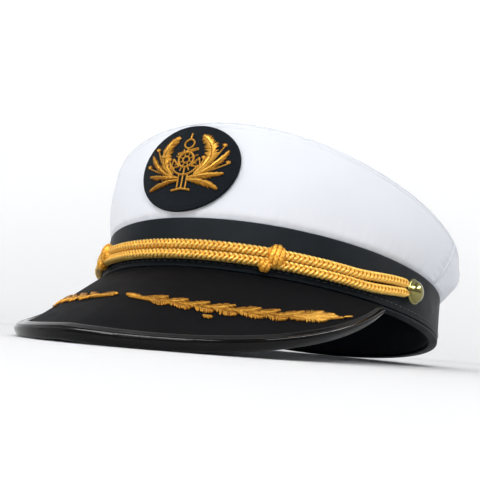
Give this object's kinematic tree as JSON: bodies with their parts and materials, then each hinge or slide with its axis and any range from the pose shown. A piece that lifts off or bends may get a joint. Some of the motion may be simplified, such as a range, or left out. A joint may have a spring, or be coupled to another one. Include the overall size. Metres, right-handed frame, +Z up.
{
  "type": "captain hat",
  "caption": "White cloth captain hat with a black band, curved peak with gold leaf sprays, doubled gold cord on two side buttons and an oval anchor badge.",
  "frame": {"origin": "Centre of the bounding box's bottom, on the surface the hat rests on.", "axes": "+Z is up, -Y is the front where the peak points, +X is the side on the viewer's right when the hat is seen from the front. The hat leans back so that its peak and the back of its rim touch the surface."},
  "size_m": [0.1902, 0.2818, 0.1001],
  "materials": {
    "white_cloth": "smooth cool white twill, matte, softly creased",
    "black_cloth": "black satin-backed cloth, low sheen",
    "navy_cloth": "dark navy sweatband cloth, matte",
    "black_lining": "black pleated cloth, matte",
    "felt_patch": "very dark navy felt, matte",
    "patent_trim": "glossy black patent edging",
    "gold_thread": "bright gold metallic thread, braided and embroidered",
    "brass": "polished brass with an olive tint"
  },
  "bodies": {
    "root": {"hat_band": "black_cloth", "rim_binding": "black_cloth", "sweatband": "navy_cloth", "crown_side": "white_cloth", "crown_back": "white_cloth", "crown_top": "white_cloth", "peak_board": "black_cloth", "peak_lining": "black_lining", "peak_trim": "patent_trim", "badge_patch": "felt_patch", "badge_emblem": "gold_thread", "cord_upper": "gold_thread", "cord_lower": "gold_thread", "peak_spray_left": "gold_thread", "peak_spray_right": "gold_thread", "cord_knot_left": "gold_thread", "cord_knot_right": "gold_thread", "side_button_left": "brass", "side_button_right": "brass"}
  },
  "joints": []
}
